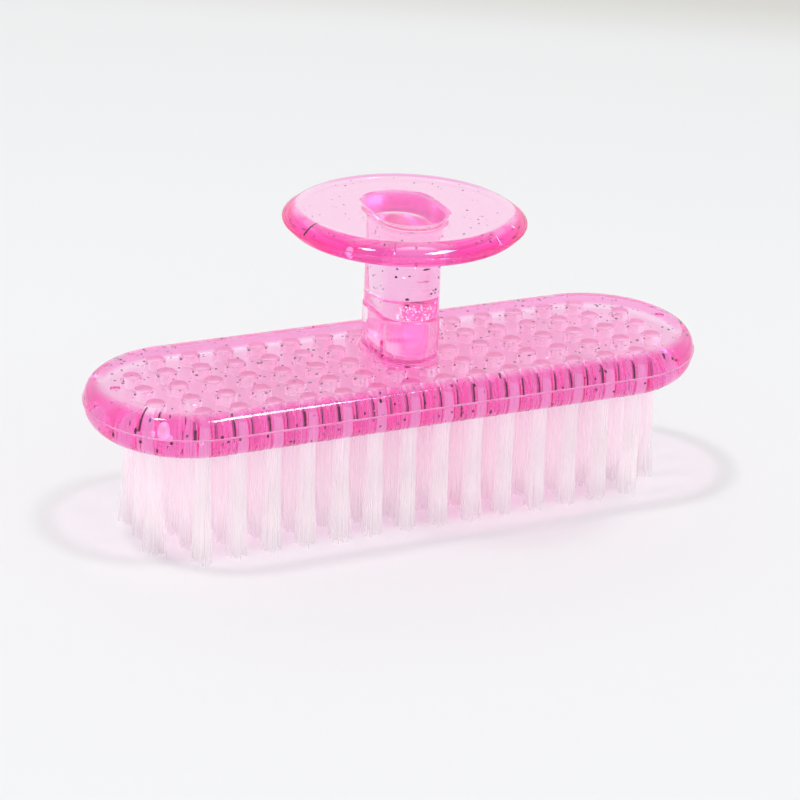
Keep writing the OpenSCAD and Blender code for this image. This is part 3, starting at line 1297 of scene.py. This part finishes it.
@dataclass
class MouldedParts:
    """The block, the knob handle and the wire anchors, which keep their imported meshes."""

    nodes: dict[str, Piece]
    block: ClearPlastic = ClearPlastic(
        "clear_pink_block", rim_straight=32.5 * MM, rim_inner=11.5 * MM, rim_outer=12.2 * MM,
        # painted shade: the rounded side is tinted deep magenta, standing in for the long paths
        # that light takes through it
        zones=(Zone(tint=(1.0, 0.25, 0.68, 1.0), inner=12.8 * MM, soft=1.0 * MM),
               # the closed ends of the holes are frosted, and their darker tint is painted shade
               # in the holes
               Zone(tint=(0.97, 0.44, 0.72, 1.0), frost=0.3, low=20.95 * MM, high=22.3 * MM,
                    outer=12.3 * MM),
               Zone(frost=0.38, high=17.2 * MM)))
    knob: ClearPlastic = ClearPlastic(
        "clear_pink_knob", shade_tint=(1.0, 0.82, 0.92, 1.0),
        zones=(Zone(tint=(1.0, 0.82, 0.92, 1.0), low=42.6 * MM),
               # painted shade: the rounded rim is tinted deep magenta, standing in for the long
               # paths that light takes through it
               Zone(tint=(0.94, 0.20, 0.67, 1.0), inner=16.0 * MM, soft=0.4 * MM),
               Zone(tint=(1.0, 0.88, 0.90, 1.0), frost=0.45, low=42.8 * MM, high=45.85 * MM,
                    outer=9.3 * MM),
               Zone(frost=0.15, low=20.0 * MM, high=31.4 * MM)))
    wire: DrawnWire = DrawnWire()

    def finish(self) -> None:
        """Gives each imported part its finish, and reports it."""
        for name, finish, slot in (("brush_block", self.block, Slot.PLASTIC),
                                   ("knob_handle", self.knob, Slot.PLASTIC),
                                   ("tuft_anchors", self.wire, Slot.WIRE)):
            node = self.nodes[name]
            dress(node, finish.material())
            LOG.info("%s: packed mesh, finish %s", name, finish.name)


@dataclass(frozen=True)
class Softbox:
    """One soft lamp: where it hangs from the brush, how large it is and what it adds."""

    name: str
    towards: Point
    width: float
    depth: float
    level: float
    gleam_only: bool = False
    distance: float = 1.5

    def hang(self) -> None:
        """Hangs the lamp, as bright as its level asks for on white paper."""
        direction = Vector(self.towards).normalized()
        lamp = bpy.data.lights.new(self.name, "AREA")
        lamp.shape = "RECTANGLE"
        lamp.size = self.width
        lamp.size_y = self.depth
        lamp.energy = self.level * math.pi ** 2 * self.distance ** 2 / direction.z
        hung = bpy.data.objects.new(self.name, lamp)
        bpy.context.collection.objects.link(hung)
        hung.visible_diffuse = not self.gleam_only
        hung.location = direction * self.distance
        hung.rotation_euler = (-direction).to_track_quat("-Z", "Y").to_euler()
        LOG.info("%s: level %.2f", self.name, self.level)


@dataclass(frozen=True)
class Viewpoint:
    """Where the camera stands, in degrees, and its lens."""

    azimuth: float = -25.337
    elevation: float = 23.364
    roll: float = 2.463
    distance: float = 387.69 * MM
    target: Point = (-1.01 * MM, -3.16 * MM, 17.38 * MM)
    lens: float = 119.43
    sensor: float = 36.0
    clip: Range = (0.01, 20.0)

    def set_camera(self) -> None:
        """Makes the scene's camera, level but for its roll."""
        turn, rise, roll = (math.radians(x) for x in (self.azimuth, self.elevation, self.roll))
        back = Vector((math.sin(turn) * math.cos(rise), -math.cos(turn) * math.cos(rise),
                       math.sin(rise)))
        level_right = Vector((math.cos(turn), math.sin(turn), 0.0))
        level_up = back.cross(level_right)
        right = level_right * math.cos(roll) + level_up * math.sin(roll)
        up = level_up * math.cos(roll) - level_right * math.sin(roll)
        lens = bpy.data.cameras.new("camera")
        lens.lens = self.lens
        lens.sensor_width = self.sensor
        lens.clip_start, lens.clip_end = self.clip
        camera = bpy.data.objects.new("camera", lens)
        bpy.context.collection.objects.link(camera)
        facing = Matrix((right, up, back)).transposed().to_4x4()
        camera.matrix_world = Matrix.Translation(Vector(self.target)
                                                 + back * self.distance) @ facing
        bpy.context.scene.camera = camera


@dataclass
class Studio:
    """The set: paper, soft lamps, a pale surround and the camera."""

    viewpoint: Viewpoint = Viewpoint()
    paper: PaperSweep = PaperSweep()
    paper_half: float = 3.0
    paper_curl: float = 0.02
    lamps: tuple[Softbox, ...] = (
        Softbox("gleam_softbox", (0.28, -0.20, 0.92), 0.17, 0.11, 0.22, gleam_only=True,
                distance=0.75),
        Softbox("right_softbox", (0.207, -0.30, 1.0), 0.22, 0.22, 0.16),
        Softbox("left_softbox", (-0.347, 0.07, 1.0), 0.20, 0.20, 0.20),
    )
    surround: Colour = (1.06, 1.0, 1.03, 1.0)
    surround_dark: Colour = (0.80, 0.76, 0.78, 1.0)
    dark_towards: Point = (-0.40, -0.84, 0.25)
    dark_start: float = 0.55
    dark_end: float = 0.95
    fill_low: float = 1.12
    fill_high: float = 0.53
    fill_low_end: float = 0.40
    fill_high_start: float = 0.80
    bounces: int = 48
    diffuse_bounces: int = 32
    clear_bounces: int = 96

    def build(self) -> None:
        """Lays the paper, hangs the lamps, lights the surround and sets the camera."""
        self.viewpoint.set_camera()
        self.lay_paper()
        for lamp in self.lamps:
            lamp.hang()
        self.light_surround()
        self.set_light_paths()

    def lay_paper(self) -> None:
        """Lays the paper the brush stands on, its far edges turned down."""
        deselect_all()
        bpy.ops.mesh.primitive_plane_add(size=2 * self.paper_half)
        with editing() as sheet:
            bpy.ops.mesh.inset(thickness=2 * self.paper_curl)
            bpy.ops.mesh.select_all(action="INVERT")
        sheet.name = "paper"
        for corner in sheet.data.vertices:
            if max(abs(corner.co.x), abs(corner.co.y)) > self.paper_half - self.paper_curl:
                corner.co.z -= self.paper_curl
        dress(sheet, self.paper.material())
        LOG.info("paper: stage")

    def light_surround(self) -> None:
        """Lights the world: pale where it is seen, darker low behind the camera."""
        world = bpy.data.worlds.new("surround")
        bpy.context.scene.world = world
        world.use_nodes = True
        bench = NodeBench(world.node_tree)
        direction = bench.add("ShaderNodeTexCoord").outputs["Generated"]
        toward = bench.along(direction, Vector(self.dark_towards).normalized())
        darkness = bench.spread(toward, self.dark_start, self.dark_end, smooth=True)
        seen = bench.shader("Background", {
            "Color": bench.blend(darkness, self.surround, self.surround_dark)})
        height = bench.add("ShaderNodeSeparateXYZ", {"Vector": direction}).outputs["Z"]
        fill = bench.shader("Background", {
            "Color": WHITE,
            "Strength": bench.spread(height, self.fill_low_end, self.fill_high_start,
                                     self.fill_low, self.fill_high, smooth=True)})
        looked_at = bench.math("MAXIMUM", bench.ray("Is Camera Ray"), bench.ray("Is Glossy Ray"))
        looked_at = bench.math("MAXIMUM", looked_at, bench.ray("Is Transmission Ray"))
        looked_at = bench.math("MULTIPLY", looked_at,
                               bench.math("SUBTRACT", 1.0, bench.ray("Is Diffuse Ray")))
        bench.add("ShaderNodeOutputWorld", {"Surface": bench.mix_shader(looked_at, fill, seen)})

    def set_light_paths(self) -> None:
        """Lets light cross the many skins of the clear block."""
        cycles = bpy.context.scene.cycles
        cycles.max_bounces = cycles.transmission_bounces = cycles.glossy_bounces = self.bounces
        cycles.diffuse_bounces = self.diffuse_bounces
        cycles.transparent_max_bounces = self.clear_bounces


def main() -> None:
    """Builds the brush's looks and the studio in order."""
    logging.basicConfig(level=logging.INFO, format="%(name)s: %(message)s")
    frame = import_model()
    bpy.context.scene.view_settings.view_transform = "Standard"
    Studio().build()
    MouldedParts(frame["nodes"]).finish()
    grid = HoleGrid()
    Tufts(grid).build()
    WireBites(grid).build()
    Glitter("block", BlockSpace(grid), {GlitterTone.DARK: 320, GlitterTone.SILVER: 150,
                                        GlitterTone.TEAL: 50}).build()
    Glitter("knob", KnobSpace(), {GlitterTone.DARK: 75, GlitterTone.SILVER: 40,
                                  GlitterTone.TEAL: 12},
            radius=(0.09 * MM, 0.19 * MM), seed=34).build()
    Bubbles().build()
    PartingLip("block", FrostedLipPaintedGleam("frosted_lip_painted_gleam"), height=20.9 * MM, radius=15.0 * MM,
               thickness=0.26 * MM, straight=32.5 * MM).build()
    PartingLip("knob", ClearPlastic("clear_pink_lip", depth_density=65.0),
               height=44.35 * MM, radius=17.3 * MM, thickness=0.6 * MM).build()


if __name__ == "__main__":
    main()
